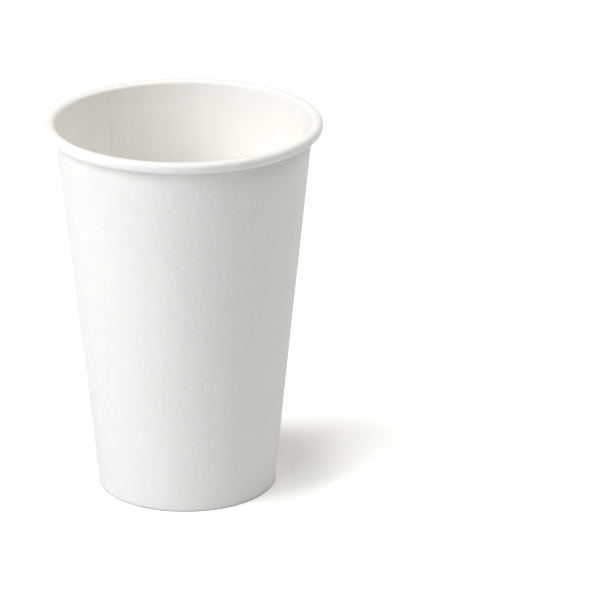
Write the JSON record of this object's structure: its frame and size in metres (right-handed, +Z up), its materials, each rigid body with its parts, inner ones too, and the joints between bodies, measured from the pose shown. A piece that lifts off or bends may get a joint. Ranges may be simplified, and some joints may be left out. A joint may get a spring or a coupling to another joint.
{
  "type": "paper coffee cup",
  "caption": "Tapered single-wall paper cup for hot drinks, with a rolled rim that takes a press-on lid, a lapped side seam and a recessed bottom disc.",
  "frame": {"origin": "centre of the ring that the cup stands on", "axes": "+Z up along the cup's axis; -Y towards the viewer of the picture, +X to their right"},
  "size_m": [0.09, 0.09, 0.1252],
  "materials": {
    "sidewall_board": "matte white board outside, coated inside",
    "bottom_board": "white board, coated on the drink's side"
  },
  "bodies": {
    "root": {"sidewall": "sidewall_board", "bottom_disc": "bottom_board"}
  },
  "joints": []
}
